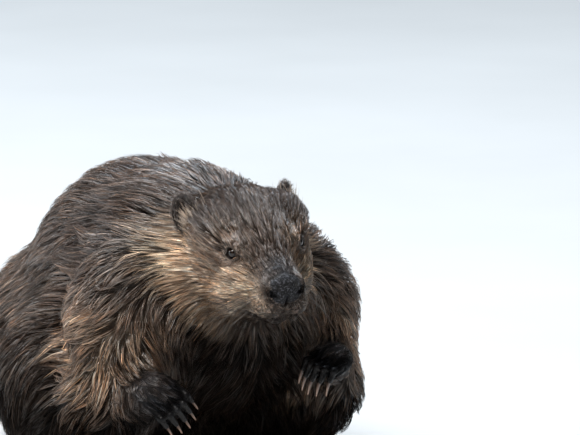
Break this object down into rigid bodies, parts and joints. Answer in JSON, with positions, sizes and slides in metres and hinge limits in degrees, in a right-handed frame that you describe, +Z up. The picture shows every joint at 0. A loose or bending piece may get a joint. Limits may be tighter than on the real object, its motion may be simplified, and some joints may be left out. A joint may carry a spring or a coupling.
{
  "type": "beaver, still life-size model",
  "caption": "Life-size still model of an adult North American beaver with wet fur, sitting hunched on its haunches, forepaws hanging before the chest, flat tail laid behind.",
  "frame": {"origin": "middle of the animal's box, on the floor it sits on", "axes": "+Z up; the animal faces -Y and its flat tail lies towards +Y; +X is its left side"},
  "size_m": [0.3112, 0.8428, 0.2934],
  "materials": {
    "fur": "wet brown guard hairs in pointed locks",
    "ear_fur": "short dark velvety fur",
    "paw_skin": "dark bare skin, damp",
    "nose_skin": "dark pebbled skin, damp",
    "tail_scales": "dark scaly skin",
    "eye": "polished, near black",
    "claw_horn": "smooth horn"
  },
  "bodies": {
    "root": {"head": "fur", "jaw": "fur", "neck": "fur", "trunk": "fur", "foreleg_left": "fur", "foreleg_right": "fur", "hindleg_left": "fur", "hindleg_right": "fur", "tail_root": "fur", "ear_left": "ear_fur", "ear_right": "ear_fur", "forepaw_left": "paw_skin", "forepaw_right": "paw_skin", "hindfoot_left": "paw_skin", "hindfoot_right": "paw_skin", "nose": "nose_skin", "tail_paddle": "tail_scales", "eye_left": "eye", "eye_right": "eye", "claw_fore_left_1": "claw_horn", "claw_fore_left_2": "claw_horn", "claw_fore_left_3": "claw_horn", "claw_fore_left_4": "claw_horn", "claw_fore_left_5": "claw_horn", "claw_fore_right_1": "claw_horn", "claw_fore_right_2": "claw_horn", "claw_fore_right_3": "claw_horn", "claw_fore_right_4": "claw_horn", "claw_fore_right_5": "claw_horn", "claw_hind_left_1": "claw_horn", "claw_hind_left_2": "claw_horn", "claw_hind_left_3": "claw_horn", "claw_hind_left_4": "claw_horn", "claw_hind_left_5": "claw_horn", "claw_hind_right_1": "claw_horn", "claw_hind_right_2": "claw_horn", "claw_hind_right_3": "claw_horn", "claw_hind_right_4": "claw_horn", "claw_hind_right_5": "claw_horn"}
  },
  "joints": []
}
